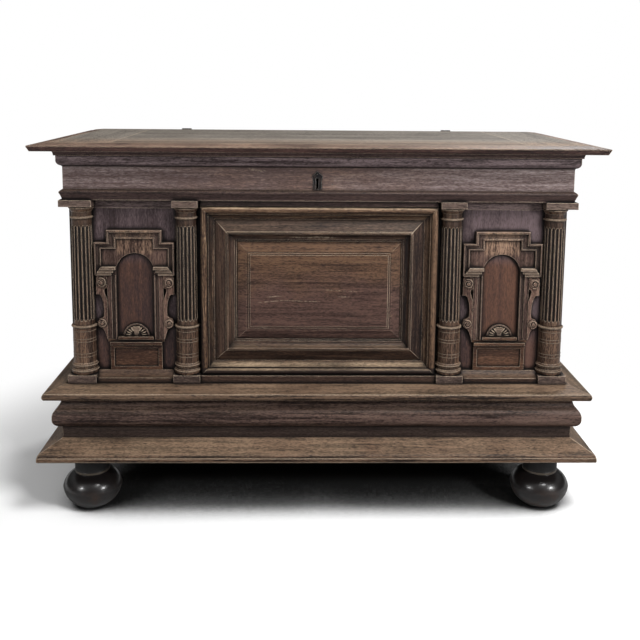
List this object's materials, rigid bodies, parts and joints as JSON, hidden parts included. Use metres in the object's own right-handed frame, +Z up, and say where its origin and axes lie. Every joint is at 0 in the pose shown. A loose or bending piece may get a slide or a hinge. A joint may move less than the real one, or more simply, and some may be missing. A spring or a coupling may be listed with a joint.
{
  "type": "cassone",
  "caption": "Joined oak chest on ball feet: moulded base, fluted engaged columns, arched niches, mitred centre panel, lock and hinged lid.",
  "frame": {"origin": "on the floor under the middle of the chest's bounding box", "axes": "+X to the right of someone facing the front, -Y out of the front, +Z up"},
  "size_m": [1.456, 0.672, 0.993],
  "materials": {
    "oak_case": "aged dark oak, waxed",
    "oak_moulding": "aged oak, rubbed lighter on its edges",
    "oak_carved": "aged dark oak, turned and carved",
    "oak_lid": "worn oak with a dull wax",
    "oak_bare": "unfinished old oak",
    "oak_ebonised": "blackened and polished",
    "wrought_iron": "forged, darkened"
  },
  "bodies": {
    "chest": {"post_front_left": "oak_case", "post_front_right": "oak_case", "post_back_left": "oak_case", "post_back_right": "oak_case", "front_top_rail": "oak_case", "front_bottom_rail": "oak_case", "front_muntins": "oak_case", "front_bay_panels": "oak_case", "centre_back_panel": "oak_case", "side_rails": "oak_case", "side_panels": "oak_case", "base_front_board": "oak_case", "base_side_boards": "oak_case", "frieze_front_board": "oak_case", "frieze_side_boards": "oak_case", "lower_plinth_moulding": "oak_moulding", "cushion_moulding": "oak_moulding", "upper_plinth_moulding": "oak_moulding", "frieze_astragal": "oak_moulding", "cornice_moulding": "oak_moulding", "bay_base_mouldings": "oak_moulding", "centre_outer_moulding": "oak_moulding", "centre_inner_moulding": "oak_moulding", "centre_raised_panel": "oak_carved", "outer_columns": "oak_carved", "inner_columns": "oak_carved", "column_abaci": "oak_carved", "column_plinths": "oak_carved", "arch_boards": "oak_carved", "arch_hoods": "oak_carved", "arch_imposts": "oak_carved", "niche_pilasters": "oak_carved", "scroll_brackets": "oak_carved", "niche_shells": "oak_carved", "niche_sills": "oak_carved", "bay_pedestals": "oak_carved", "base_back_board": "oak_bare", "base_corner_blocks": "oak_bare", "back_rails": "oak_bare", "back_panels": "oak_bare", "floor_boards": "oak_bare", "floor_ledgers": "oak_bare", "front_feet": "oak_ebonised", "back_feet": "oak_ebonised", "escutcheon": "wrought_iron", "hinge_case_plates": "wrought_iron", "hinge_pins": "wrought_iron", "lock_case": "wrought_iron"},
    "lid": {"lid_frame_boards": "oak_lid", "lid_centre_boards": "oak_lid", "lid_edge_moulding": "oak_lid", "lid_dust_moulding": "oak_lid", "lid_battens": "oak_lid", "lid_hinge_straps": "wrought_iron", "lid_catch": "wrought_iron"},
    "bolt": {"lock_bolt": "wrought_iron"}
  },
  "joints": [
    {"name": "lid_hinge", "type": "hinge", "parent": "chest", "child": "lid", "pos_m": [0, 0.329, 0.986], "axis": [-1, 0, 0], "range_deg": [0, 100]},
    {"name": "bolt_slide", "type": "slide", "parent": "chest", "child": "bolt", "axis": [1, 0, 0], "range_m": [0, 0.014]}
  ]
}
